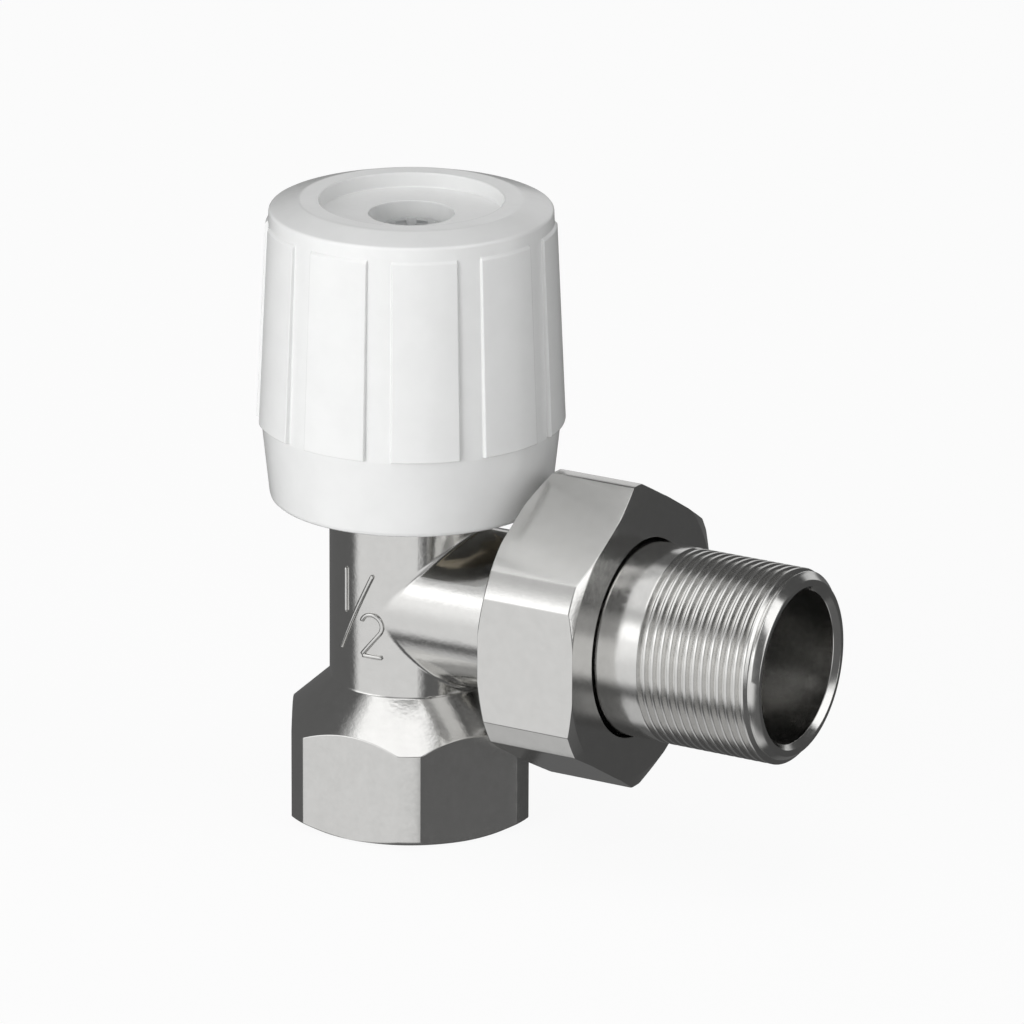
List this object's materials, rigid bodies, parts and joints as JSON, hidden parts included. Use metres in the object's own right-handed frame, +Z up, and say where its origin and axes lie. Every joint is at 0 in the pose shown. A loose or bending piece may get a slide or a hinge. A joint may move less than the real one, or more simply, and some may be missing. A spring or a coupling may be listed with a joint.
{
  "type": "manual radiator valve",
  "caption": "Angle radiator valve: ribbed white handwheel on a rising spindle, plated brass body with female inlet, union nut and male threaded tailpiece.",
  "frame": {"origin": "on the inlet axis, at the foot of the body", "axes": "+Z up the spindle, +X out along the tailpiece, the size mark faces -Y"},
  "size_m": [0.0642, 0.033, 0.0684],
  "materials": {
    "nickel_body": "nickel plated over a forged skin, with a faint ripple; hexagon machined",
    "nickel_nut": "nickel plated, machined",
    "nickel_tail": "nickel plated, turned",
    "brass": "bare, turned",
    "steel": "turned",
    "rubber": "satin",
    "packing": "matte",
    "white_plastic": "glossy moulded"
  },
  "bodies": {
    "root": {"valve_body": "nickel_body", "bonnet": "brass", "bonnet_o_ring": "rubber", "spindle_o_ring_lower": "rubber", "gland_washer": "steel", "packing_ring": "packing", "gland_nut": "brass", "spindle_o_ring_upper": "rubber"},
    "plug_set": {"plug": "brass", "seal_disc": "rubber", "seal_washer": "steel", "seal_screw": "steel", "spindle_clip": "steel"},
    "handwheel_set": {"spindle": "steel", "handwheel": "white_plastic", "handwheel_screw": "steel", "screw_washer": "steel"},
    "tail_set": {"tailpiece": "nickel_tail", "tail_o_ring": "rubber"},
    "union_nut_set": {"union_nut": "nickel_nut"}
  },
  "joints": [
    {"name": "plug_lift", "type": "slide", "parent": "root", "child": "plug_set", "axis": [0, 0, 1], "range_m": [0, 0.00375]},
    {"name": "handwheel_turn", "type": "hinge", "parent": "plug_set", "child": "handwheel_set", "pos_m": [0, 0, 0.05], "axis": [0, 0, 1], "range_deg": [0, 900]},
    {"name": "tailpiece_draw", "type": "slide", "parent": "root", "child": "tail_set", "axis": [1, 0, 0], "range_m": [0, 0.00544]},
    {"name": "union_nut_turn", "type": "hinge", "parent": "tail_set", "child": "union_nut_set", "pos_m": [0.0227, 0, 0.0242], "axis": [1, 0, 0], "range_deg": [0, 1080]}
  ],
  "couplings": [
    {"joint": "handwheel_turn", "follows": "plug_lift", "rad_per_m": 4188.8},
    {"joint": "tailpiece_draw", "follows": "union_nut_turn", "m_per_rad": 0.00028871}
  ]
}
